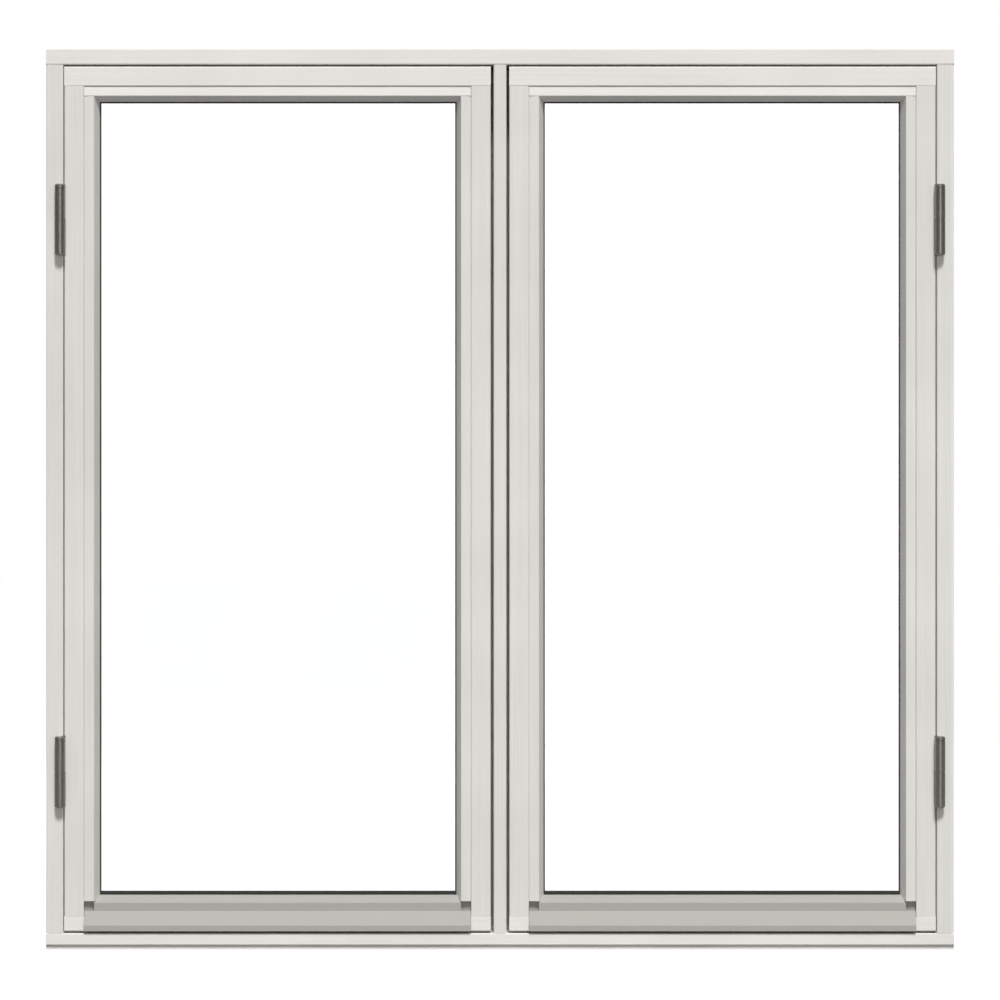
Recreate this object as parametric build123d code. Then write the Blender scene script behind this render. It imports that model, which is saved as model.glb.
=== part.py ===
from build123d import *
import os

# Two-light side-hung casement window in painted timber, all sizes in millimetres.
# X runs to the right as seen from outside, Y from outside (minus) to the room (plus), Z up.
# The origin is on the sill's underside, at mid width and mid depth.

# Outer frame
FRAME_WIDTH = 1180.0
FRAME_HEIGHT = 1170.0
FRAME_DEPTH = 105.0
JAMB_FACE = 22.5
HEAD_FACE = 20.7
SILL_FACE = 20.4
MULLION_FACE = 16.8
STOP_LAP = 15.0
EDGE_ROUND = 2.0
OUTER_ROUND = 4.0

# Sill: fall of the weathered top, and the rebate that takes the window flashing
SILL_FALL = 2.0
FLASHING_HEIGHT = 5.6
FLASHING_DEPTH = 3.0

# Frame fixings through each jamb, on the room side of the stop
FIXING_RADIUS = 7.0
FIXING_SPACING = 700.0

# Joints round the sashes
JAMB_GAP = 1.0
HEAD_GAP = 1.6
SILL_GAP = 2.6
MULLION_GAP = 3.6
SASH_SETBACK = 2.0
SEAL_GAP = 4.0
SEAL_INSET = 3.0
SEAL_WIDTH = 7.0

# Sash members
SASH_THICKNESS = 56.0
REBATE_EDGE = 25.6
LIP_SIGHT = 42.0
LIP_BOTTOM_SIGHT = 48.0
LIP_ROUND = 2.5
BOTTOM_RAIL_FRONT = 18.8
BOTTOM_RAIL_FALL = 12.0
DRIP_GROOVE_RADIUS = 2.5
DRIP_GROOVE_DEPTH = 16.0

# Sealed glass unit and what holds it
PANE_THICKNESS = 4.0
CAVITY = 16.0
PANE_EDGE = 31.0
PANE_BOTTOM_EDGE = 37.0
SPACER_INSET = 3.0
SPACER_WIDTH = 7.0
GASKET_THICKNESS = 3.0
GASKET_WIDTH = 9.0
GASKET_SHOW = 1.8
GASKET_BOTTOM_SIGHT = 51.2
TAPE_THICKNESS = 3.0

# Timber glazing beads on three sides
BEAD_SETBACK = 1.6
BEAD_CREST = 0.6
BEAD_DEPTH = 15.0
BEAD_FACE = 13.0
BEAD_SLOPE = 6.2
BEAD_ROUND = 1.2
BEAD_FIT = 0.3
SIDE_BEAD_FOOT = 39.2

# Aluminium bottom bead with its drip, heights taken from the underside of the sash
DRIP_WALL = 1.8
DRIP_TOP = 45.4
DRIP_SHOULDER = 36.6
DRIP_STEP = 26.2
DRIP_NOSE_TOP = 8.0
DRIP_NOSE_FOOT = 0.8
DRIP_TOP_DEPTH = 14.5
DRIP_STEP_DEPTH = 3.4
DRIP_PROJECTION = 5.4
DRIP_RETURN = 5.0
DRIP_LEG_DEPTH = 8.5
DRIP_FIT = 0.4

# Lift-off hinges
HINGE_RADIUS = 6.5
HINGE_HEIGHT = 92.0
HINGE_CLEAR = 0.5
HINGE_TOP_INSET = 200.0
HINGE_BOTTOM_INSET = 208.0
PIN_RADIUS = 4.0
PIN_CLEAR = 0.2
PIN_RISE = 36.0
COLLAR_HEIGHT = 1.0
COLLAR_RADIUS = 5.8
KNUCKLE_CHAMFER = 1.4
CAP_HEIGHT = 5.5
CAP_GROOVE = 0.5
LEAF_THICKNESS = 2.0
LEAF_FRONT = 3.0
LEAF_DEPTH = 31.0
LEAF_CLEAR = 0.6
LEAF_FIT = 0.3

# Room-side handles
HANDLE_HEIGHT = 520.0
HANDLE_PLATE_WIDTH = 22.0
HANDLE_PLATE_LENGTH = 66.0
HANDLE_PLATE_THICKNESS = 8.0
HANDLE_PLATE_CHAMFER = 1.5
NECK_RADIUS = 8.0
NECK_LENGTH = 19.0
LEVER_LENGTH = 122.0
LEVER_THICKNESS = 11.0
LEVER_TOP_WIDTH = 21.0
LEVER_END_WIDTH = 15.0
LEVER_BOW = 4.0
LEVER_THINNING = 3.5
LEVER_CHAMFER = 2.2

# Planes that several pieces share
HALF_WIDTH = FRAME_WIDTH / 2
HEAD_LIP_Z = FRAME_HEIGHT - HEAD_FACE
JAMB_LIP_X = -HALF_WIDTH + JAMB_FACE
SASH_LEFT = JAMB_LIP_X + JAMB_GAP
SASH_RIGHT = -MULLION_FACE / 2 - MULLION_GAP
SASH_MIDDLE = (SASH_LEFT + SASH_RIGHT) / 2
SASH_BOTTOM = SILL_FACE + SILL_GAP
SASH_TOP = HEAD_LIP_Z - HEAD_GAP
REBATE_DEPTH = SASH_SETBACK + SASH_THICKNESS + SEAL_GAP
BEAD_BACK = BEAD_CREST + BEAD_DEPTH
UNIT_FRONT = BEAD_BACK + GASKET_THICKNESS
UNIT_BACK = UNIT_FRONT + 2 * PANE_THICKNESS + CAVITY
POCKET_DEPTH = UNIT_BACK + TAPE_THICKNESS
BEAD_SIGHT = REBATE_EDGE + BEAD_FACE + BEAD_SLOPE
GASKET_SIGHT = BEAD_SIGHT + GASKET_SHOW
KNUCKLE_HEIGHT = (HINGE_HEIGHT - COLLAR_HEIGHT) / 2


def frame_y(depth):
    """Y of a point the given depth behind the outer face of the frame."""
    return depth - FRAME_DEPTH / 2


def sash_y(depth):
    """Y of a point the given depth behind the outer face of the sash."""
    return frame_y(SASH_SETBACK + depth)


def section(corners):
    """Closed face through (u, v, corner radius) corners; a zero radius keeps a corner sharp."""
    points = [(u, v) for u, v, radius in corners]
    radii = [radius for u, v, radius in corners]
    return make_face(FilletPolyline(*points, radius=radii, close=True))


def along_x(face, start, end):
    """Member with a (Y, Z) section running from start to end along the width."""
    return extrude(Plane.YZ.offset(start) * face, amount=end - start)


def along_z(face, start, end):
    """Member with an (X, Y) section running from start to end up the height."""
    return extrude(Plane.XY.offset(start) * face, amount=end - start)


def slab(x_range, y_range, z_range):
    """Plain sheet or plate between the given limits."""
    sides = [high - low for low, high in (x_range, y_range, z_range)]
    middle = [(low + high) / 2 for low, high in (x_range, y_range, z_range)]
    return Pos(*middle) * Box(*sides)


def loop(sides, top, bottom, width, y_range):
    """Rectangular ring in the sash; its inner edge lies at the given distances from the sash edges."""
    inner_x = (SASH_LEFT + sides, SASH_RIGHT - sides)
    inner_z = (SASH_BOTTOM + bottom, SASH_TOP - top)
    outer_x = (inner_x[0] - width, inner_x[1] + width)
    outer_z = (inner_z[0] - width, inner_z[1] + width)
    return slab(outer_x, y_range, outer_z) - slab(inner_x, y_range, inner_z)


# Outer frame sections. Each carries the lip beside the sash and the deeper stop behind it.
def head_section(edge):
    stop_z = SASH_TOP - STOP_LAP
    return section([
        (frame_y(0), FRAME_HEIGHT, edge / 2),
        (frame_y(0), HEAD_LIP_Z, edge),
        (frame_y(REBATE_DEPTH), HEAD_LIP_Z, 0),
        (frame_y(REBATE_DEPTH), stop_z, edge),
        (frame_y(FRAME_DEPTH), stop_z, edge),
        (frame_y(FRAME_DEPTH), FRAME_HEIGHT, 0),
    ])


def sill_section(edge):
    stop_z = SASH_BOTTOM + STOP_LAP
    return section([
        (frame_y(FLASHING_DEPTH), 0, 0),
        (frame_y(FLASHING_DEPTH), FLASHING_HEIGHT, 0),
        (frame_y(0), FLASHING_HEIGHT, edge / 2),
        (frame_y(0), SILL_FACE, edge / 2),
        (frame_y(REBATE_DEPTH), SILL_FACE + SILL_FALL, 0),
        (frame_y(REBATE_DEPTH), stop_z, edge),
        (frame_y(FRAME_DEPTH), stop_z, edge),
        (frame_y(FRAME_DEPTH), 0, 0),
    ])


def jamb_section(edge):
    stop_x = SASH_LEFT + STOP_LAP
    return section([
        (-HALF_WIDTH, frame_y(0), edge and OUTER_ROUND),
        (JAMB_LIP_X, frame_y(0), edge),
        (JAMB_LIP_X, frame_y(REBATE_DEPTH), 0),
        (stop_x, frame_y(REBATE_DEPTH), edge),
        (stop_x, frame_y(FRAME_DEPTH), edge),
        (-HALF_WIDTH, frame_y(FRAME_DEPTH), 0),
    ])


def mullion_section(edge):
    nose = MULLION_FACE / 2
    stop = nose + MULLION_GAP + STOP_LAP
    return section([
        (-nose, frame_y(0), edge),
        (nose, frame_y(0), edge),
        (nose, frame_y(REBATE_DEPTH), 0),
        (stop, frame_y(REBATE_DEPTH), edge),
        (stop, frame_y(FRAME_DEPTH), edge),
        (-stop, frame_y(FRAME_DEPTH), edge),
        (-stop, frame_y(REBATE_DEPTH), edge),
        (-nose, frame_y(REBATE_DEPTH), 0),
    ])


# Head and sill run through; jambs and mullion are scribed to their sharp outlines,
# so the rounded arrises leave the fine V of a timber joint.
head = along_x(head_section(EDGE_ROUND), -HALF_WIDTH, HALF_WIDTH)
sill = along_x(sill_section(EDGE_ROUND), -HALF_WIDTH, HALF_WIDTH)
head_outline = along_x(head_section(0), -HALF_WIDTH, HALF_WIDTH)
sill_outline = along_x(sill_section(0), -HALF_WIDTH, HALF_WIDTH)

fixing_y = frame_y((REBATE_DEPTH + FRAME_DEPTH) / 2)
fixing_z = [FRAME_HEIGHT / 2 + side * FIXING_SPACING / 2 for side in (-1, 1)]
jamb = along_z(jamb_section(EDGE_ROUND), SILL_FACE, HEAD_LIP_Z) - head_outline - sill_outline
for z in fixing_z:
    jamb -= Pos(-HALF_WIDTH, fixing_y, z) * Rot(0, 90, 0) * Cylinder(FIXING_RADIUS, FRAME_WIDTH / 4)
mullion = along_z(mullion_section(EDGE_ROUND), SILL_FACE, HEAD_LIP_Z) - head_outline - sill_outline


# Sash sections. A pocket open to the outside takes the glass; a lip closes it on the room side.
# The underside of the bottom rail is bevelled to the fall of the sill.
def top_rail_section(edge):
    return section([
        (sash_y(0), SASH_TOP, edge),
        (sash_y(0), SASH_TOP - REBATE_EDGE, edge / 2),
        (sash_y(POCKET_DEPTH), SASH_TOP - REBATE_EDGE, 0),
        (sash_y(POCKET_DEPTH), SASH_TOP - LIP_SIGHT, 0),
        (sash_y(SASH_THICKNESS), SASH_TOP - LIP_SIGHT, edge and LIP_ROUND),
        (sash_y(SASH_THICKNESS), SASH_TOP, edge),
    ])


def bottom_rail_section(edge):
    bevel = SILL_FALL * SASH_THICKNESS / REBATE_DEPTH
    return section([
        (sash_y(0), SASH_BOTTOM, edge),
        (sash_y(0), SASH_BOTTOM + BOTTOM_RAIL_FRONT, edge / 2),
        (sash_y(POCKET_DEPTH), SASH_BOTTOM + BOTTOM_RAIL_FRONT + BOTTOM_RAIL_FALL, 0),
        (sash_y(POCKET_DEPTH), SASH_BOTTOM + LIP_BOTTOM_SIGHT, 0),
        (sash_y(SASH_THICKNESS), SASH_BOTTOM + LIP_BOTTOM_SIGHT, edge and LIP_ROUND),
        (sash_y(SASH_THICKNESS), SASH_BOTTOM + bevel, edge),
    ])


def stile_section(edge):
    return section([
        (SASH_LEFT, sash_y(0), edge),
        (SASH_LEFT + REBATE_EDGE, sash_y(0), edge / 2),
        (SASH_LEFT + REBATE_EDGE, sash_y(POCKET_DEPTH), 0),
        (SASH_LEFT + LIP_SIGHT, sash_y(POCKET_DEPTH), 0),
        (SASH_LEFT + LIP_SIGHT, sash_y(SASH_THICKNESS), edge and LIP_ROUND),
        (SASH_LEFT, sash_y(SASH_THICKNESS), edge),
    ])


# Both rails run through and the stiles are scribed between them. Between the stiles the front
# of the bottom rail is housed back to take the aluminium bead.
across_sash = Plane.YZ.offset(SASH_MIDDLE)
top_rail = along_x(top_rail_section(EDGE_ROUND), SASH_LEFT, SASH_RIGHT)
drip_groove = Pos(SASH_MIDDLE, sash_y(DRIP_GROOVE_DEPTH), SASH_BOTTOM) * Rot(0, 90, 0)
drip_groove *= Cylinder(DRIP_GROOVE_RADIUS, SASH_RIGHT - SASH_LEFT)
drip_back = DRIP_STEP_DEPTH + DRIP_WALL / 2 + DRIP_FIT
rail_front = (sash_y(-DRIP_PROJECTION), sash_y(drip_back))
between_stiles = (SASH_LEFT + REBATE_EDGE, SASH_RIGHT - REBATE_EDGE)
bottom_rail = along_x(bottom_rail_section(EDGE_ROUND), SASH_LEFT, SASH_RIGHT) - drip_groove
bottom_rail -= slab(between_stiles, rail_front, (SASH_BOTTOM, SASH_BOTTOM + LIP_BOTTOM_SIGHT))
hinge_stile = along_z(stile_section(EDGE_ROUND), SASH_BOTTOM + SILL_FALL, SASH_TOP)
hinge_stile -= along_x(top_rail_section(0), SASH_LEFT, SASH_RIGHT)
hinge_stile -= along_x(bottom_rail_section(0), SASH_LEFT, SASH_RIGHT)
lock_stile = mirror(hinge_stile, about=across_sash)


# Timber glazing beads: a set-back, slightly sloping flat, then a splay down to the glass.
# Corners are (distance from the sash edge, depth, corner radius).
bead_corners = [
    (REBATE_EDGE, BEAD_SETBACK, BEAD_ROUND),
    (REBATE_EDGE + BEAD_FACE, BEAD_CREST, BEAD_ROUND),
    (BEAD_SIGHT, BEAD_BACK, 0),
    (REBATE_EDGE, BEAD_BACK, 0),
]
# What is scribed to a bead stops at this outline: square before its flat, and following its splay.
bead_zone = [
    (REBATE_EDGE, -DRIP_PROJECTION, 0),
    (REBATE_EDGE + BEAD_FACE, -DRIP_PROJECTION, 0),
    (REBATE_EDGE + BEAD_FACE, BEAD_CREST, 0),
    (BEAD_SIGHT, BEAD_BACK, 0),
    (REBATE_EDGE, BEAD_BACK, 0),
]


def below_rail(corners):
    """Bead section under the top rail."""
    return section([(sash_y(depth), SASH_TOP - inset, radius) for inset, depth, radius in corners])


def beside_stile(corners):
    """Bead section beside the left-hand stile."""
    return section([(SASH_LEFT + inset, sash_y(depth), radius) for inset, depth, radius in corners])


top_bead = along_x(below_rail(bead_corners), between_stiles[0] + BEAD_FIT, between_stiles[1] - BEAD_FIT)
side_bead = along_z(beside_stile(bead_corners), SASH_BOTTOM + SIDE_BEAD_FOOT, SASH_TOP - REBATE_EDGE)
side_bead -= along_x(below_rail(bead_zone), SASH_LEFT, SASH_RIGHT)
lock_side_bead = mirror(side_bead, about=across_sash)


# Aluminium bottom bead: splay at the glass, upright step, sloping drip, nose and return,
# with a leg under the splay that stands on the sloping floor of the pocket. One even wall all along.
def strip(*points):
    """Even-walled strip along (depth, height) points measured from the sash's lower front arris."""
    path = Polyline(*[(sash_y(depth), SASH_BOTTOM + height) for depth, height in points])
    return make_face(offset(path, amount=DRIP_WALL / 2, kind=Kind.INTERSECTION, side=Side.BOTH))


splay_rise = (DRIP_TOP - DRIP_SHOULDER) / (DRIP_TOP_DEPTH - DRIP_STEP_DEPTH)
leg_top = DRIP_SHOULDER + splay_rise * (DRIP_LEG_DEPTH - DRIP_STEP_DEPTH)
leg_front = DRIP_LEG_DEPTH - DRIP_WALL / 2
leg_back = DRIP_LEG_DEPTH + DRIP_WALL / 2
leg_foot = BOTTOM_RAIL_FRONT + BOTTOM_RAIL_FALL * leg_back / POCKET_DEPTH + DRIP_WALL / 2
nose_front = DRIP_WALL / 2 - DRIP_PROJECTION
nose_foot = DRIP_NOSE_FOOT + DRIP_WALL / 2
drip_face = strip(
    (DRIP_TOP_DEPTH, DRIP_TOP),
    (DRIP_STEP_DEPTH, DRIP_SHOULDER),
    (DRIP_STEP_DEPTH, DRIP_STEP),
    (nose_front, DRIP_NOSE_TOP),
    (nose_front, nose_foot),
    (nose_front + DRIP_RETURN, nose_foot),
)
drip_face += strip((DRIP_LEG_DEPTH, leg_top), (DRIP_LEG_DEPTH, leg_foot))
drip_bead = along_x(drip_face, between_stiles[0] + DRIP_FIT, between_stiles[1] - DRIP_FIT)
# The strip is scribed to the side beads; under their square feet its step is notched back to the leg.
scribe_foot = SASH_BOTTOM + SIDE_BEAD_FOOT - DRIP_FIT
drip_scribe = along_z(beside_stile(bead_zone), scribe_foot, SASH_TOP)
drip_scribe += slab(
    (between_stiles[0], between_stiles[0] + BEAD_FACE),
    (sash_y(-DRIP_PROJECTION), sash_y(leg_front)),
    (SASH_BOTTOM + DRIP_STEP + DRIP_WALL / 2, scribe_foot),
)
drip_bead -= drip_scribe
drip_bead -= mirror(drip_scribe, about=across_sash)

# Sealed glass unit: two panes held apart by a spacer bar
pane_x = (SASH_LEFT + PANE_EDGE, SASH_RIGHT - PANE_EDGE)
pane_z = (SASH_BOTTOM + PANE_BOTTOM_EDGE, SASH_TOP - PANE_EDGE)
cavity_y = (sash_y(UNIT_FRONT + PANE_THICKNESS), sash_y(UNIT_BACK - PANE_THICKNESS))
outer_pane = slab(pane_x, (sash_y(UNIT_FRONT), cavity_y[0]), pane_z)
inner_pane = slab(pane_x, (cavity_y[1], sash_y(UNIT_BACK)), pane_z)
spacer_inner = PANE_EDGE + SPACER_INSET + SPACER_WIDTH
spacer_bottom = PANE_BOTTOM_EDGE + SPACER_INSET + SPACER_WIDTH
spacer = loop(spacer_inner, spacer_inner, spacer_bottom, SPACER_WIDTH, cavity_y)

# Glazing gasket outside the unit, glazing tape on its room side
gasket_y = (sash_y(BEAD_BACK), sash_y(UNIT_FRONT))
tape_y = (sash_y(UNIT_BACK), sash_y(POCKET_DEPTH))
gasket = loop(GASKET_SIGHT, GASKET_SIGHT, GASKET_BOTTOM_SIGHT, GASKET_WIDTH, gasket_y)
tape = loop(LIP_SIGHT, LIP_SIGHT, LIP_BOTTOM_SIGHT, GASKET_WIDTH, tape_y)

# Weather seal pressed between the back of the sash and the frame's stop
seal_y = (sash_y(SASH_THICKNESS), frame_y(REBATE_DEPTH))
seal_inner = SEAL_INSET + SEAL_WIDTH
seal = loop(seal_inner, seal_inner, seal_inner, SEAL_WIDTH, seal_y)

# Lift-off hinges. The frame half carries the lower knuckle with its collar and pin, and the sash half
# drops over the pin on to the collar.
# The leaves lie in shallow housings either side of the joint between jamb and sash.
joint_x = (JAMB_LIP_X + SASH_LEFT) / 2
frame_leaf_x = (joint_x - LEAF_CLEAR / 2 - LEAF_THICKNESS, joint_x - LEAF_CLEAR / 2)
sash_leaf_x = (joint_x + LEAF_CLEAR / 2, joint_x + LEAF_CLEAR / 2 + LEAF_THICKNESS)
axis_x = sash_leaf_x[1] - HINGE_RADIUS
axis_depth = -HINGE_RADIUS - HINGE_CLEAR
leaf_height = (-HINGE_HEIGHT / 2, HINGE_HEIGHT / 2)
hinge_heights = {
    "upper": SASH_TOP - HINGE_TOP_INSET,
    "lower": SASH_BOTTOM + HINGE_BOTTOM_INSET,
}


def turned(outline):
    """Solid of revolution about Z from (radius, height) points."""
    return revolve(Plane.XZ * make_face(Polyline(*outline, close=True)), axis=Axis.Z)


def upright(radius, height):
    """Cylinder standing on Z = 0."""
    return Cylinder(radius, height, align=(Align.CENTER, Align.CENTER, Align.MIN))


def leaf(x_range, own_half):
    """Plate in the joint beside the sash, joined to the barrel over its own half of the height."""
    plate = slab(x_range, (frame_y(LEAF_FRONT), frame_y(LEAF_DEPTH)), leaf_height)
    return plate + slab(x_range, (frame_y(axis_depth), frame_y(LEAF_FRONT)), own_half)


on_axis = Pos(axis_x, frame_y(axis_depth), 0)
half_collar = COLLAR_HEIGHT / 2
knuckle_top = half_collar + KNUCKLE_HEIGHT
cap_foot = knuckle_top - CAP_HEIGHT
upper_half = (half_collar, knuckle_top - KNUCKLE_CHAMFER)
lower_half = (KNUCKLE_CHAMFER - knuckle_top, -half_collar)
pin_bore = PIN_RADIUS + PIN_CLEAR
pin_socket = on_axis * Pos(0, 0, half_collar) * upright(pin_bore, PIN_RISE + PIN_CLEAR)
capped_knuckle = on_axis * turned([
    (0, half_collar),
    (HINGE_RADIUS, half_collar),
    (HINGE_RADIUS, cap_foot - CAP_GROOVE),
    (HINGE_RADIUS - CAP_GROOVE, cap_foot),
    (HINGE_RADIUS, cap_foot + CAP_GROOVE),
    (HINGE_RADIUS, knuckle_top - KNUCKLE_CHAMFER),
    (HINGE_RADIUS - KNUCKLE_CHAMFER, knuckle_top),
    (0, knuckle_top),
])
pin_knuckle = on_axis * turned([
    (0, -knuckle_top),
    (HINGE_RADIUS - KNUCKLE_CHAMFER, -knuckle_top),
    (HINGE_RADIUS, KNUCKLE_CHAMFER - knuckle_top),
    (HINGE_RADIUS, -half_collar),
    (COLLAR_RADIUS, -half_collar),
    (COLLAR_RADIUS, half_collar),
    (PIN_RADIUS, half_collar),
    (PIN_RADIUS, half_collar + PIN_RISE),
    (0, half_collar + PIN_RISE),
])
sash_half = capped_knuckle + leaf(sash_leaf_x, upper_half) - pin_socket
frame_half = pin_knuckle + leaf(frame_leaf_x, lower_half)


def housing(x_range, height):
    """Shallow recess that lets a leaf into the timber, open to the front and to the joint."""
    reach = HINGE_HEIGHT / 2 + LEAF_FIT
    z_range = (height - reach, height + reach)
    return slab(x_range, (frame_y(axis_depth), frame_y(LEAF_DEPTH + LEAF_FIT)), z_range)


for height in hinge_heights.values():
    jamb -= housing((frame_leaf_x[0], joint_x), height)
    hinge_stile -= housing((joint_x, sash_leaf_x[1]), height)

# Room-side handle on the lock stile: rose with its neck, and a bowed, tapering lever
handle_x = SASH_RIGHT - (STOP_LAP + LIP_SIGHT) / 2
handle_z = SASH_BOTTOM + HANDLE_HEIGHT
on_stile = Plane(origin=(handle_x, sash_y(SASH_THICKNESS), handle_z), x_dir=(-1, 0, 0), z_dir=(0, 1, 0))
rose_corner = HANDLE_PLATE_WIDTH / 2 - HANDLE_PLATE_CHAMFER
rose_face = RectangleRounded(HANDLE_PLATE_WIDTH, HANDLE_PLATE_LENGTH, rose_corner)
rose = extrude(rose_face, amount=HANDLE_PLATE_THICKNESS)
rose = chamfer(rose.faces().sort_by(Axis.Z)[-1].edges(), HANDLE_PLATE_CHAMFER)
neck_top = HANDLE_PLATE_THICKNESS + NECK_LENGTH
rose += upright(NECK_RADIUS, neck_top)
rose = on_stile * rose

lever_top = LEVER_TOP_WIDTH / 2
lever_end = lever_top - LEVER_LENGTH
lever_front = Polyline(
    (-LEVER_TOP_WIDTH / 2, 0),
    (-LEVER_END_WIDTH / 2, lever_end),
    (LEVER_END_WIDTH / 2, lever_end),
    (LEVER_TOP_WIDTH / 2, 0),
)
lever_front += ThreePointArc((LEVER_TOP_WIDTH / 2, 0), (0, lever_top), (-LEVER_TOP_WIDTH / 2, 0))
lever_height = neck_top + LEVER_THICKNESS + LEVER_BOW
lever_blank = extrude(make_face(lever_front), amount=lever_height)
lever_back = Line((lever_top, neck_top), (-lever_top, neck_top))
inner_bow = TangentArc(lever_back @ 1, (lever_end, neck_top + LEVER_BOW), tangent=(-1, 0))
lever_cap = Line((lever_top, neck_top + LEVER_THICKNESS), (-lever_top, neck_top + LEVER_THICKNESS))
outer_bow = TangentArc(lever_cap @ 1, (lever_end, lever_height - LEVER_THINNING), tangent=(-1, 0))
lever_side = lever_back + inner_bow + lever_cap + outer_bow
lever_side += Line(lever_back @ 0, lever_cap @ 0)
lever_side += Line(inner_bow @ 1, outer_bow @ 1)
lever_profile = extrude(Plane.YZ * make_face(lever_side), amount=LEVER_TOP_WIDTH, both=True)
lever = lever_blank & lever_profile
lever = chamfer(lever.faces().sort_by(Axis.Z)[-1].edges(), LEVER_CHAMFER)
lever = on_stile * lever

# Pieces of the left-hand sash; the right-hand one is its mirror image
sash_pieces = {
    "sash_top_rail": top_rail,
    "sash_bottom_rail": bottom_rail,
    "sash_hinge_stile": hinge_stile,
    "sash_lock_stile": lock_stile,
    "top_bead": top_bead,
    "hinge_side_bead": side_bead,
    "lock_side_bead": lock_side_bead,
    "drip_bead": drip_bead,
    "outer_pane": outer_pane,
    "inner_pane": inner_pane,
    "spacer_bar": spacer,
    "glazing_gaskets": Compound([gasket, tape]),
    "weather_seal": seal,
    "handle_rose": rose,
    "handle_lever": lever,
}
for level, height in hinge_heights.items():
    sash_pieces[f"{level}_hinge_frame_half"] = Pos(0, 0, height) * frame_half
    sash_pieces[f"{level}_hinge_sash_half"] = Pos(0, 0, height) * sash_half

nodes = {
    "frame_head": head,
    "frame_sill": sill,
    "frame_left_jamb": jamb,
    "frame_right_jamb": mirror(jamb, about=Plane.YZ),
    "frame_mullion": mullion,
}
for name, piece in sash_pieces.items():
    nodes[f"left_{name}"] = piece
    nodes[f"right_{name}"] = mirror(piece, about=Plane.YZ)

os.makedirs("parts", exist_ok=True)
for name, shape in nodes.items():
    export_step(shape, f"parts/{name}.step")
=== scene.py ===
# %% [markdown]
# # A side-hung casement window in white painted timber
#
# The window's timber, glass, hinges and aluminium are solids that were drawn to size beforehand
# and packed as a frame. Here they get their finishes, and the small screws that a joiner adds
# last. Everything is in metres: X runs to the right as seen from outside, Y from outside to the
# room, and Z up, with zero under the middle of the sill.

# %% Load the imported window
import math

import bpy
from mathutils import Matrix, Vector


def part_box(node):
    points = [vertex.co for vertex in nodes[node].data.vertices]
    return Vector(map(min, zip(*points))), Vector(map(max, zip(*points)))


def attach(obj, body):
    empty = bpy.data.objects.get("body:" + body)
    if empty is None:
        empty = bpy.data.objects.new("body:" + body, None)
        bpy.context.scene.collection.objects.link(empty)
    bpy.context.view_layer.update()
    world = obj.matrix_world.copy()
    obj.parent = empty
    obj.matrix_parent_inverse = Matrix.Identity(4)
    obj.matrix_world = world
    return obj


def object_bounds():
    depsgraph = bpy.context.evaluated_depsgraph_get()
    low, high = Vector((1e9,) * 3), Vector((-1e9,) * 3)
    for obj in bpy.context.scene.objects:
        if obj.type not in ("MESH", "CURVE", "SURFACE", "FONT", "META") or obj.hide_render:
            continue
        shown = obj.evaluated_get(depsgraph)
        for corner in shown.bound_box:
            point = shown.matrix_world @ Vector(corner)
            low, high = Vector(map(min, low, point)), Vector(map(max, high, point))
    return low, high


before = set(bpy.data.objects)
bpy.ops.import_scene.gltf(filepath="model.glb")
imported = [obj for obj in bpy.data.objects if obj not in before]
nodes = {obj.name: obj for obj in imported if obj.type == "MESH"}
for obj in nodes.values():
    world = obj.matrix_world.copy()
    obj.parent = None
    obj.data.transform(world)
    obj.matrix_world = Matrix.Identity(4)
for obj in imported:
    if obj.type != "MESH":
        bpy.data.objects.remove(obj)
cad_low, cad_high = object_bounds()
SIDES = ("left", "right")
MM = 0.001
print("nodes:", len(nodes), "CAD box:", [round(v, 4) for v in (*cad_low, *cad_high)])

# %% [markdown]
# ## Small helpers for materials
#
# A colour is given as an sRGB hex value, but a shader counts in linear light, so one
# function turns the one into the other. Another one adds a node and links or sets its inputs,
# because that is nearly all that building a material is. The last gives a finished material to
# pieces of the window by their names.

# %% Colour and node helpers
SRGB_KNEE, SRGB_SLOPE = 0.04045, 12.92
SRGB_OFFSET, SRGB_POWER = 0.055, 2.4


def linear(hex_colour):
    """Linear RGBA from an sRGB hex colour such as "E1DED9"."""
    values = [int(hex_colour[i:i + 2], 16) / 255 for i in (0, 2, 4)]
    light = [v / SRGB_SLOPE if v <= SRGB_KNEE
             else ((v + SRGB_OFFSET) / (1 + SRGB_OFFSET)) ** SRGB_POWER for v in values]
    return (*light, 1.0)


def add(owner, kind, inputs=None, **settings):
    """Adds a node to a material or world, with its settings and its inputs linked or set."""
    node = owner.node_tree.nodes.new(kind)
    for name, value in settings.items():
        setattr(node, name, value)
    for name, value in (inputs or {}).items():
        if isinstance(value, bpy.types.NodeSocket):
            owner.node_tree.links.new(value, node.inputs[name])
        else:
            node.inputs[name].default_value = value
    return node


def new_material(name):
    """An empty material."""
    material = bpy.data.materials.new(name)
    material.use_nodes = True
    material.node_tree.nodes.clear()
    return material


def dress(material, *names):
    """Gives the material to every slot of the named CAD nodes."""
    for name in names:
        for slot in nodes[name].material_slots:
            slot.material = material
    print(material.name, "on", len(names), "pieces")
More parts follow.
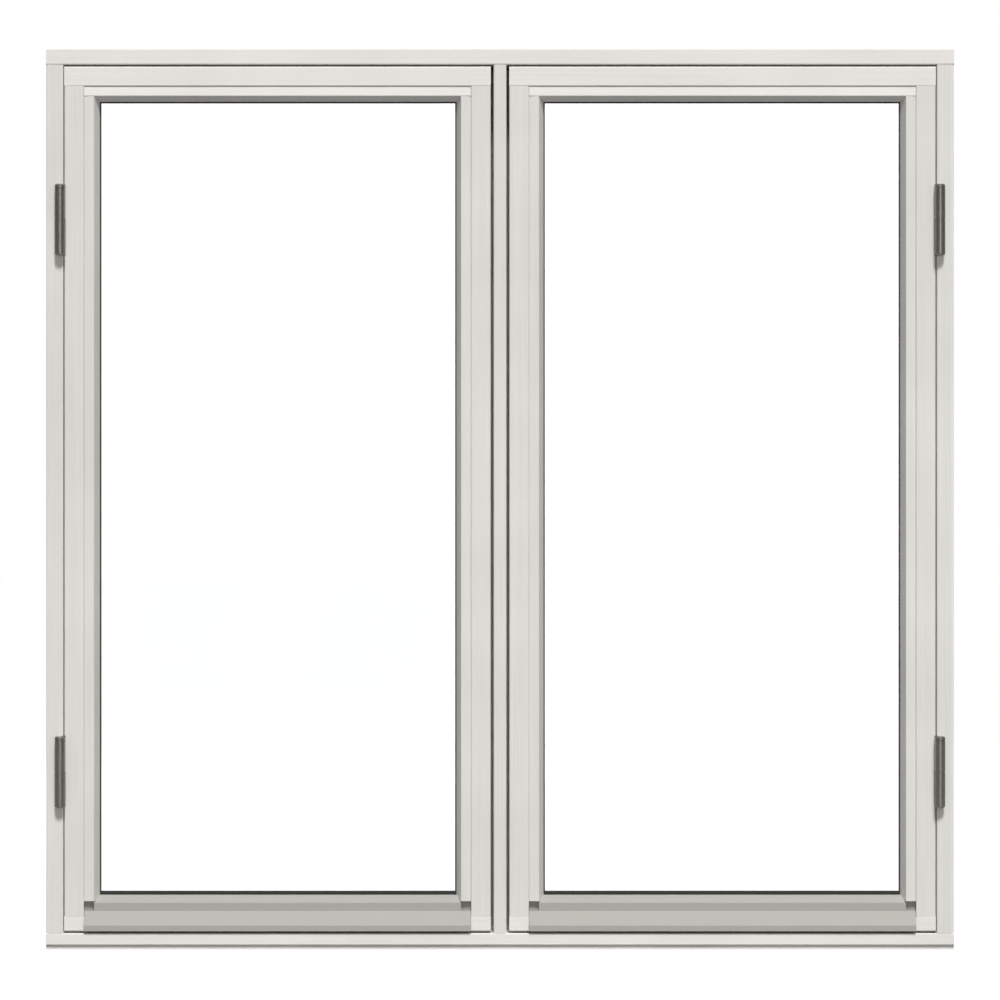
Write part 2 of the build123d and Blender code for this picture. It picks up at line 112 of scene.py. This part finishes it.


# %% [markdown]
# ## White paint on pine
#
# The frame and sashes are planed pine, sprayed with a satin white paint. Paint hides the colour
# of the wood but not its relief: the harder late-wood rings stand up a little, so long faint
# streaks run along each member. One noise pattern stretched along the member gives those streaks
# to the colour, the gloss and the bump alike. Real rings are finer than a picture of the whole
# window can show, so they are drawn a little wide. Uprights and level members need their own
# copy, because the grain follows the length of the piece. The level copy is also painted a few
# shades lighter. That is painted light, standing in for the light from above that the head, sill
# and rails catch more than the uprights.

# %% Paint with its grain
GRAIN_WIDTH, GRAIN_LENGTH = 2.6 * MM, 190 * MM
GRAIN_HEIGHT, GRAIN_STRENGTH = 0.15 * MM, 0.12
CLOUD_SIZE = 120 * MM
PAINT_IOR = 1.5
PAINT_SMOOTH, PAINT_ROUGH = 0.46, 0.58
ALONG_X, ALONG_Z = 0, 2


def painted_pine(name, lengthwise, dark, light):
    """Satin white paint over pine whose grain runs along the given axis."""
    material = new_material(name)
    where = add(material, "ShaderNodeTexCoord").outputs["Object"]
    stretch = [1 / GRAIN_WIDTH] * 3
    stretch[lengthwise] = 1 / GRAIN_LENGTH
    along = add(material, "ShaderNodeMapping", {"Vector": where, "Scale": stretch})
    grain = add(material, "ShaderNodeTexNoise",
                {"Vector": along.outputs["Vector"], "Scale": 1.0, "Detail": 4.0,
                 "Roughness": 0.55, "Distortion": 0.15})
    cloud = add(material, "ShaderNodeTexNoise",
                {"Vector": where, "Scale": 1 / CLOUD_SIZE, "Detail": 2.0})
    both = add(material, "ShaderNodeMath", {0: grain.outputs["Fac"], 1: cloud.outputs["Fac"]},
               operation="ADD")
    # The two noises together swing about 1, and the colour makes the most of that swing.
    tone = add(material, "ShaderNodeMapRange",
               {"Value": both.outputs["Value"], "From Min": 0.7, "From Max": 1.3})
    tint = add(material, "ShaderNodeMix",
               {"Factor": tone.outputs["Result"], "A": linear(dark), "B": linear(light)},
               data_type="RGBA")
    gloss = add(material, "ShaderNodeMapRange",
                {"Value": grain.outputs["Fac"], "To Min": PAINT_SMOOTH, "To Max": PAINT_ROUGH})
    relief = add(material, "ShaderNodeBump",
                 {"Height": grain.outputs["Fac"], "Strength": GRAIN_STRENGTH,
                  "Distance": GRAIN_HEIGHT})
    paint = add(material, "ShaderNodeBsdfPrincipled",
                {"Base Color": tint.outputs["Result"], "Roughness": gloss.outputs["Result"],
                 "Normal": relief.outputs["Normal"], "IOR": PAINT_IOR})
    add(material, "ShaderNodeOutputMaterial", {"Surface": paint.outputs["BSDF"]})
    return material


# %% Paint on upright and level members
UPRIGHT_PIECES = ("sash_hinge_stile", "sash_lock_stile", "hinge_side_bead", "lock_side_bead")
LEVEL_PIECES = ("sash_top_rail", "sash_bottom_rail", "top_bead")

upright_paint = painted_pine("white_painted_pine_upright", ALONG_Z, "D7D5CF", "E1DFDA")
# The level paint is a few shades lighter than the upright paint: painted light for the light from
# above on level members.
level_paint_painted_lighter = painted_pine("white_painted_pine_level", ALONG_X, "E1DED9", "EAE7E3")
dress(upright_paint, "frame_left_jamb", "frame_right_jamb", "frame_mullion",
      *[f"{side}_{piece}" for side in SIDES for piece in UPRIGHT_PIECES])
dress(level_paint_painted_lighter, "frame_head", "frame_sill",
      *[f"{side}_{piece}" for side in SIDES for piece in LEVEL_PIECES])

# %% [markdown]
# ## Anodised aluminium
#
# The bottom bead of each sash is an aluminium extrusion with a matte natural anodising. The die
# leaves fine straight lines along it, and the etched oxide scatters light, so it looks like a
# pale grey that turns with the light rather than like a mirror. A noise drawn out along the bead
# gives the lines, and a high roughness the scatter.

# %% Aluminium of the drip beads
DIE_LINE, DIE_LENGTH = 0.9 * MM, 400 * MM
DIE_HEIGHT, DIE_STRENGTH = 0.05 * MM, 0.1
OXIDE_SMOOTH, OXIDE_ROUGH = 0.82, 0.92

anodised = new_material("anodised_aluminium")
where = add(anodised, "ShaderNodeTexCoord").outputs["Object"]
along = add(anodised, "ShaderNodeMapping",
            {"Vector": where, "Scale": (1 / DIE_LENGTH, 1 / DIE_LINE, 1 / DIE_LINE)})
lines = add(anodised, "ShaderNodeTexNoise",
            {"Vector": along.outputs["Vector"], "Scale": 1.0, "Detail": 3.0})
tint = add(anodised, "ShaderNodeMix",
           {"Factor": lines.outputs["Fac"], "A": linear("C0BDB9"), "B": linear("CCCAC6")},
           data_type="RGBA")
gloss = add(anodised, "ShaderNodeMapRange",
            {"Value": lines.outputs["Fac"], "To Min": OXIDE_SMOOTH, "To Max": OXIDE_ROUGH})
relief = add(anodised, "ShaderNodeBump",
             {"Height": lines.outputs["Fac"], "Strength": DIE_STRENGTH, "Distance": DIE_HEIGHT})
metal = add(anodised, "ShaderNodeBsdfPrincipled",
            {"Base Color": tint.outputs["Result"], "Roughness": gloss.outputs["Result"],
             "Normal": relief.outputs["Normal"], "Metallic": 1.0})
add(anodised, "ShaderNodeOutputMaterial", {"Surface": metal.outputs["BSDF"]})
dress(anodised, *[f"{side}_drip_bead" for side in SIDES])

# %% [markdown]
# ## Zinc, chrome and plain aluminium
#
# The hinges are turned and pressed steel with a dull zinc plating that has darkened outdoors. The
# handles are die cast, with a satin chrome that is lighter and calmer. The spacer between the
# panes is plain rolled aluminium. None of them is one even grey, so in each a noise varies tone,
# gloss and relief in soft blotches: small and strong on zinc, large and faint on chrome.

# %% Metals with soft blotches
BLOTCH_HEIGHT = 0.1 * MM
GLOSS_SWING = 0.07


def blotched_metal(name, dark, light, size, rough, strength):
    """Metal that varies in blotches of the given size; strength is that of their relief."""
    material = new_material(name)
    where = add(material, "ShaderNodeTexCoord").outputs["Object"]
    blotch = add(material, "ShaderNodeTexNoise",
                 {"Vector": where, "Scale": 1 / size, "Detail": 5.0, "Roughness": 0.6})
    tint = add(material, "ShaderNodeMix",
               {"Factor": blotch.outputs["Fac"], "A": linear(dark), "B": linear(light)},
               data_type="RGBA")
    gloss = add(material, "ShaderNodeMapRange",
                {"Value": blotch.outputs["Fac"],
                 "To Min": rough - GLOSS_SWING, "To Max": rough + GLOSS_SWING})
    relief = add(material, "ShaderNodeBump",
                 {"Height": blotch.outputs["Fac"], "Strength": strength,
                  "Distance": BLOTCH_HEIGHT})
    metal = add(material, "ShaderNodeBsdfPrincipled",
                {"Base Color": tint.outputs["Result"], "Roughness": gloss.outputs["Result"],
                 "Normal": relief.outputs["Normal"], "Metallic": 1.0})
    add(material, "ShaderNodeOutputMaterial", {"Surface": metal.outputs["BSDF"]})
    return material


zinc = blotched_metal("zinc_plated_steel", "7C7A77", "989691", 4 * MM, 0.38, 0.06)
chrome = blotched_metal("satin_chrome", "D2D2D0", "DDDDDB", 14 * MM, 0.36, 0.015)
spacer = blotched_metal("mill_aluminium", "9C9C9A", "B2B2B0", 12 * MM, 0.45, 0.04)
dress(zinc, *[f"{side}_{level}_hinge_{half}_half" for side in SIDES
              for level in ("upper", "lower") for half in ("frame", "sash")])
dress(chrome, *[f"{side}_handle_{piece}" for side in SIDES for piece in ("rose", "lever")])
dress(spacer, *[f"{side}_spacer_bar" for side in SIDES])

# %% [markdown]
# ## Gasket rubber
#
# The glazing gaskets and the weather seals are black EPDM rubber, extruded and slightly chalky.
# Rubber swallows light, and a little dust, drawn by a fine noise, keeps it from being pure black.

# %% Rubber of the gaskets
DUST_SIZE = 6 * MM
RUBBER_ROUGH, RUBBER_IOR = 0.7, 1.52

rubber = new_material("black_epdm_rubber")
where = add(rubber, "ShaderNodeTexCoord").outputs["Object"]
dust = add(rubber, "ShaderNodeTexNoise",
           {"Vector": where, "Scale": 1 / DUST_SIZE, "Detail": 4.0})
tint = add(rubber, "ShaderNodeMix",
           {"Factor": dust.outputs["Fac"], "A": linear("1A1918"), "B": linear("2B2A28")},
           data_type="RGBA")
chalk = add(rubber, "ShaderNodeBsdfPrincipled",
            {"Base Color": tint.outputs["Result"], "Roughness": RUBBER_ROUGH, "IOR": RUBBER_IOR})
add(rubber, "ShaderNodeOutputMaterial", {"Surface": chalk.outputs["BSDF"]})
dress(rubber, *[f"{side}_{piece}" for side in SIDES
                for piece in ("glazing_gaskets", "weather_seal")])

# %% [markdown]
# ## Float glass
#
# Clear float glass bends light by its index of 1.52 and reflects about four parts in a hundred
# from each face. Its faint green only shows at the edges, and rain leaves it a touch uneven. Rays
# from the lamps are let straight through, because a ray tracer would otherwise give clear glass a
# black shadow.

# %% Glass of the sealed units
SMEAR_SIZE = 160 * MM
GLASS_IOR = 1.52

glass = new_material("clear_float_glass")
where = add(glass, "ShaderNodeTexCoord").outputs["Object"]
smear = add(glass, "ShaderNodeTexNoise",
            {"Vector": where, "Scale": 1 / SMEAR_SIZE, "Detail": 3.0})
tint = add(glass, "ShaderNodeMix",
           {"Factor": smear.outputs["Fac"], "A": linear("FAFDFC"), "B": linear("FEFFFE")},
           data_type="RGBA")
clear = add(glass, "ShaderNodeBsdfPrincipled",
            {"Base Color": tint.outputs["Result"], "Roughness": 0.0, "IOR": GLASS_IOR,
             "Transmission Weight": 1.0})
through = add(glass, "ShaderNodeBsdfTransparent")
ray = add(glass, "ShaderNodeLightPath")
seen = add(glass, "ShaderNodeMixShader",
           {0: ray.outputs["Is Shadow Ray"], 1: clear.outputs["BSDF"],
            2: through.outputs["BSDF"]})
add(glass, "ShaderNodeOutputMaterial", {"Surface": seen.outputs["Shader"]})
panes = [f"{side}_{pane}_pane" for side in SIDES for pane in ("outer", "inner")]
dress(glass, *panes)
# Light that timber or metal has scattered passes the panes unchanged, which keeps reveals clean.
for pane in panes:
    nodes[pane].visible_diffuse = False
    nodes[pane].visible_glossy = False

# %% [markdown]
# ## Screws of the handle roses
#
# Two small raised screws hold each handle to its stile, one above and one below the neck. A screw
# head could be spun from a curve, but its cross recess breaks the round, so a short cylinder with
# a bevelled rim is the simpler start, and two Boolean cuts sink the cross. One head is modelled
# on the left rose. The four screws are copies of it, each turned by its own angle, as screws end
# up.

# %% One raised screw head
SCREW_RADIUS, SCREW_HEIGHT = 3.4 * MM, 1.0 * MM
SCREW_SEAT = 0.1 * MM
SCREW_ROUND, ROUND_STEPS = 0.75 * MM, 5
SCREW_CORNERS = 40
SCREW_SPACING = 46 * MM
ROSE_THICKNESS = 8 * MM
UPPER, LOWER = 1, -1


def rose_place(side, end):
    """Middle of a screw's foot on the face of a rose, at its upper or lower end."""
    low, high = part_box(f"{side}_handle_rose")
    across, upward = (low[0] + high[0]) / 2, (low[2] + high[2]) / 2
    face = low[1] + ROSE_THICKNESS
    return Vector((across, face - SCREW_SEAT, upward + end * SCREW_SPACING / 2))


first = rose_place("left", UPPER)
bpy.ops.object.select_all(action="DESELECT")
bpy.ops.mesh.primitive_cylinder_add(
    vertices=SCREW_CORNERS, radius=SCREW_RADIUS, depth=SCREW_HEIGHT,
    rotation=(math.pi / 2, 0, 0), location=first + Vector((0, SCREW_HEIGHT / 2, 0)))
head = bpy.context.object
bpy.ops.object.transform_apply(location=True, rotation=True, scale=True)
rim_y = first.y + SCREW_HEIGHT
bpy.ops.object.mode_set(mode="EDIT")
bpy.ops.mesh.select_all(action="DESELECT")
bpy.ops.object.mode_set(mode="OBJECT")
for edge in head.data.edges:
    ends = [head.data.vertices[v].co.y for v in edge.vertices]
    edge.select = all(abs(y - rim_y) < SCREW_SEAT for y in ends)
bpy.ops.object.mode_set(mode="EDIT")
bpy.ops.mesh.bevel(offset=SCREW_ROUND, segments=ROUND_STEPS)
bpy.ops.object.mode_set(mode="OBJECT")
print("screw head:", len(head.data.polygons), "faces before the cross")

# %% Cross recess
CROSS_LENGTH, CROSS_WIDTH, CROSS_DEPTH = 3.8 * MM, 0.8 * MM, 0.55 * MM
SMOOTH_BELOW = math.radians(30)


def cut_slot(size):
    """Sinks one slot of the given size into the face of the screw head."""
    bpy.ops.object.select_all(action="DESELECT")
    bpy.ops.mesh.primitive_cube_add(size=1, location=(first.x, rim_y, first.z), scale=size)
    cutter = bpy.context.object
    bpy.context.view_layer.objects.active = head
    cut = head.modifiers.new("cross", "BOOLEAN")
    cut.operation, cut.object, cut.solver = "DIFFERENCE", cutter, "EXACT"
    bpy.ops.object.modifier_apply(modifier=cut.name)
    bpy.data.objects.remove(cutter, do_unlink=True)


# Half of each cutter is above the face, so it is twice as thick as the slot is deep.
cut_slot((CROSS_LENGTH, 2 * CROSS_DEPTH, CROSS_WIDTH))
cut_slot((CROSS_WIDTH, 2 * CROSS_DEPTH, CROSS_LENGTH))
bpy.ops.object.select_all(action="DESELECT")
head.select_set(True)
bpy.ops.object.shade_smooth_by_angle(angle=SMOOTH_BELOW)
head.data.materials.clear()
head.data.materials.append(chrome)
print("screw head:", len(head.data.polygons), "faces with the cross")

# %% Four screws
SCREW_TURNS = {("left", UPPER): 0.35, ("left", LOWER): 1.1,
               ("right", UPPER): 0.8, ("right", LOWER): 0.15}

for (side, end), turn in SCREW_TURNS.items():
    place = rose_place(side, end)
    bpy.ops.object.select_all(action="DESELECT")
    head.select_set(True)
    bpy.context.view_layer.objects.active = head
    bpy.ops.object.duplicate()
    screw = bpy.context.object
    screw.name = f"{side}_{'upper' if end == UPPER else 'lower'}_rose_screw"
    bpy.ops.transform.translate(value=place - first)
    bpy.ops.transform.rotate(value=turn, orient_axis="Y", center_override=place)
    bpy.ops.object.transform_apply(location=True, rotation=True, scale=True)
    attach(screw, "root")
    print(screw.name, [round(v, 4) for v in place])
bpy.data.objects.remove(head, do_unlink=True)

# %% [markdown]
# ## A studio that looks white
#
# A white background could be made by much light, but that would bleach the paint. Instead, floor
# and surroundings are white only for the rays that look: those from the camera, those that went
# straight through the glass, and those that metal mirrors. For all the rays that carry light to
# the window they stay dim.

# %% Rays that see the studio as white
def for_eye(owner, straight, through, in_metal, dim=0.0):
    """Level for the camera, for its view through glass and in metal, and dim for other rays."""
    ray = add(owner, "ShaderNodeLightPath")
    bounces = add(owner, "ShaderNodeMath",
                  {0: ray.outputs["Diffuse Depth"], 1: ray.outputs["Glossy Depth"]},
                  operation="ADD")
    unscattered = add(owner, "ShaderNodeMath", {0: bounces.outputs["Value"], 1: 1.0},
                      operation="LESS_THAN")
    glazed = add(owner, "ShaderNodeMath",
                 {0: ray.outputs["Is Transmission Ray"], 1: unscattered.outputs["Value"]},
                 operation="MULTIPLY")
    level = dim
    for looks, white in ((ray.outputs["Is Camera Ray"], straight),
                         (ray.outputs["Is Glossy Ray"], in_metal),
                         (glazed.outputs["Value"], through)):
        mix = add(owner, "ShaderNodeMix", {"Factor": looks, "A": level, "B": white})
        level = mix.outputs["Result"]
    return level


# %% [markdown]
# ## Floor
#
# The window stands on a plain paper floor. Its own grey throws little light up under the ledges,
# and the light that it has for the eye makes it read as white and still keeps the shadow.

# %% Floor
FLOOR_SIZE, FLOOR_MIDDLE = 30.0, 8.0
FLOOR_DROP = 0.5 * MM
FLOOR_LIFT, FLOOR_LIFT_THROUGH_GLASS, FLOOR_LIFT_IN_METAL = 0.78, 0.98, 0.2
FLOOR_ROUGH = 0.9
WHITE_LIGHT = (1, 1, 1, 1)

bpy.ops.object.select_all(action="DESELECT")
bpy.ops.mesh.primitive_plane_add(size=FLOOR_SIZE, location=(0, FLOOR_MIDDLE, -FLOOR_DROP))
floor = bpy.context.object
floor.name = "floor"
paper = new_material("studio_floor")
lift = for_eye(paper, FLOOR_LIFT, FLOOR_LIFT_THROUGH_GLASS, FLOOR_LIFT_IN_METAL)
sheet = add(paper, "ShaderNodeBsdfPrincipled",
            {"Base Color": linear("6E6E6E"), "Roughness": FLOOR_ROUGH,
             "Emission Color": WHITE_LIGHT, "Emission Strength": lift})
add(paper, "ShaderNodeOutputMaterial", {"Surface": sheet.outputs["BSDF"]})
floor.data.materials.append(paper)
print("floor:", FLOOR_SIZE, "m wide")

# %% [markdown]
# ## Lamps
#
# One soft lamp high in front, a little to the right, lights the faces and lets every ledge throw
# a short shadow down. It is a sun, because that lights the whole window evenly. A tall strip lamp
# beside the camera draws the bright line along each hinge, a panel behind lights the room side,
# and slim panels light the two ends.

# %% Key lamp
WINDOW_MIDDLE = Vector((0.0, 0.0, 0.585))
KEY_FROM = Vector((0.08, -0.57, 0.82))
KEY_STRENGTH, KEY_SPREAD = 3.3, 0.20

bpy.ops.object.light_add(type="SUN", location=WINDOW_MIDDLE + KEY_FROM)
key = bpy.context.object
key.name = "key_lamp"
key.data.energy = KEY_STRENGTH
key.data.angle = KEY_SPREAD
key.rotation_euler = KEY_FROM.to_track_quat("Z", "Y").to_euler()
print(key.name, KEY_STRENGTH)

# %% Panel lamps
STRIP_PLACE, STRIP_SIZE, STRIP_WATTS = Vector((0.5, -4.2, 0.7)), (1.3, 2.2), 26
BACK_PLACE, BACK_SIZE, BACK_WATTS = Vector((-0.4, 3.6, 1.5)), (1.6, 1.6), 75
SIDE_DISTANCE, SIDE_SIZE, SIDE_WATTS = 4.0, (0.1, 1.6), 45


def panel_lamp(name, place, size, watts):
    """Rectangular soft lamp that looks at the middle of the window."""
    bpy.ops.object.light_add(type="AREA", location=place)
    lamp = bpy.context.object
    lamp.name = name
    lamp.data.shape = "RECTANGLE"
    lamp.data.size, lamp.data.size_y = size
    lamp.data.energy = watts
    lamp.rotation_euler = (place - WINDOW_MIDDLE).to_track_quat("Z", "Y").to_euler()
    print(name, watts, "W")
    return lamp


strip = panel_lamp("strip_lamp", STRIP_PLACE, STRIP_SIZE, STRIP_WATTS)
back = panel_lamp("back_lamp", BACK_PLACE, BACK_SIZE, BACK_WATTS)
ends = [panel_lamp(f"{side}_lamp", WINDOW_MIDDLE + Vector((way * SIDE_DISTANCE, 0, 0)),
                   SIDE_SIZE, SIDE_WATTS) for side, way in zip(SIDES, (-1, 1))]
# These panels can stand in a camera's view, so only their light is used and they aren't seen.
for lamp in (back, *ends):
    lamp.visible_camera = False
    lamp.visible_transmission = False
# The slim panels are for the outer faces of the jambs, and draw no second line along the hinges.
for lamp in ends:
    lamp.visible_glossy = False

# %% [markdown]
# ## Surroundings
#
# The room fills what the lamps leave. It is brighter above than at the horizon, and brighter in
# front than behind, which a gradient on the direction of each ray gives. Metal sees its far side
# as pale, as it would with a white backdrop there.

# %% Surroundings
ROOM_LOW, ROOM_HIGH = 0.20, 0.29
ROOM_FRONT, ROOM_BACK = 1.25, 0.75
WHITE, WHITE_THROUGH_GLASS, WHITE_IN_METAL = 1.0, 1.25, 0.75
BACKDROP_START, BACKDROP_FULL = 0.1, 0.8

scene = bpy.context.scene
world = bpy.data.worlds.new("white_studio")
scene.world = world
world.use_nodes = True
world.node_tree.nodes.clear()
where = add(world, "ShaderNodeTexCoord").outputs["Generated"]
way = add(world, "ShaderNodeSeparateXYZ", {"Vector": where})
upward = add(world, "ShaderNodeMapRange",
             {"Value": way.outputs["Z"], "To Min": ROOM_LOW, "To Max": ROOM_HIGH})
inward = add(world, "ShaderNodeMapRange",
             {"Value": way.outputs["Y"], "From Min": -1.0,
              "To Min": ROOM_FRONT, "To Max": ROOM_BACK})
room = add(world, "ShaderNodeMath",
           {0: upward.outputs["Result"], 1: inward.outputs["Result"]}, operation="MULTIPLY")
behind = add(world, "ShaderNodeMapRange",
             {"Value": way.outputs["Y"], "From Min": BACKDROP_START, "From Max": BACKDROP_FULL})
mirrored = add(world, "ShaderNodeMix",
               {"Factor": behind.outputs["Result"], "A": room.outputs["Value"],
                "B": WHITE_IN_METAL})
level = for_eye(world, WHITE, WHITE_THROUGH_GLASS, mirrored.outputs["Result"],
                room.outputs["Value"])
sky = add(world, "ShaderNodeBackground", {"Strength": level, "Color": WHITE_LIGHT})
add(world, "ShaderNodeOutputWorld", {"Surface": sky.outputs["Background"]})
scene.view_settings.view_transform = "Standard"
print("surroundings:", world.name)

# %% [markdown]
# ## Camera
#
# The picture looks straight at the outer face. The sides of the reveals only just show in it, so
# the camera stands five metres away with a long lens, whose width of view is set by the share of
# the picture that the window fills. The distance counts from the face of the frame, which lies
# behind the hinges.

# %% Camera
VIEW_WIDTH = 1.2993
DISTANCE = 5.0
HINGE_REACH = 13.5 * MM
EYE_HEIGHT = 0.5838
SENSOR_MM = 36.0

face_y = cad_low[1] + HINGE_REACH
bpy.ops.object.camera_add(location=(0.0, face_y - DISTANCE, EYE_HEIGHT),
                          rotation=(math.pi / 2, 0, 0))
camera = bpy.context.object
camera.data.sensor_width = SENSOR_MM
camera.data.lens = SENSOR_MM * DISTANCE / VIEW_WIDTH
scene.camera = camera
print("lens:", round(camera.data.lens, 1), "mm")
